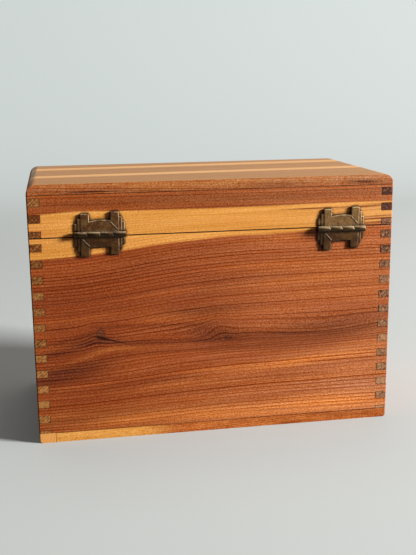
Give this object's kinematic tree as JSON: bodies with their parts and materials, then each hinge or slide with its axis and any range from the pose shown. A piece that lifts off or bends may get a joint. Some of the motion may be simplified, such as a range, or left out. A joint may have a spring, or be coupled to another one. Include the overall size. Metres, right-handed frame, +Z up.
{
  "type": "recipe card box",
  "caption": "Finger-jointed wooden card box with a sawn-off lid on two stamped metal hinges, made for 3 x 5 inch recipe cards.",
  "frame": {"origin": "middle of the underside of the wooden box, on the surface it stands on", "axes": "+Z up, +X along the box towards its right end as seen from the front, +Y out of the hinge side"},
  "size_m": [0.1464, 0.0788, 0.1042],
  "materials": {
    "cedar_walls": "satin lacquered red cedar with sapwood bands",
    "cedar_top": "satin lacquered red cedar with pale stripes",
    "cedar_base": "satin lacquered red cedar",
    "aged_bronze": "dark antique bronze plate, worn brighter on raised edges"
  },
  "bodies": {
    "box": {"base_board": "cedar_base", "base_end_strip": "cedar_base", "body_back": "cedar_walls", "body_front": "cedar_walls", "body_left_side": "cedar_walls", "body_right_side": "cedar_walls", "left_hinge_body_leaf": "aged_bronze", "left_hinge_pin": "aged_bronze", "right_hinge_body_leaf": "aged_bronze", "right_hinge_pin": "aged_bronze"},
    "lid": {"lid_top": "cedar_top", "lid_back": "cedar_walls", "lid_front": "cedar_walls", "lid_left_side": "cedar_walls", "lid_right_side": "cedar_walls", "left_hinge_lid_leaf": "aged_bronze", "right_hinge_lid_leaf": "aged_bronze"}
  },
  "joints": [
    {"name": "lid_hinge", "type": "hinge", "parent": "box", "child": "lid", "pos_m": [-0.00265, 0.03955, 0.0837], "axis": [-0.9999, 0, -0.0167], "range_deg": [0, 175]}
  ]
}
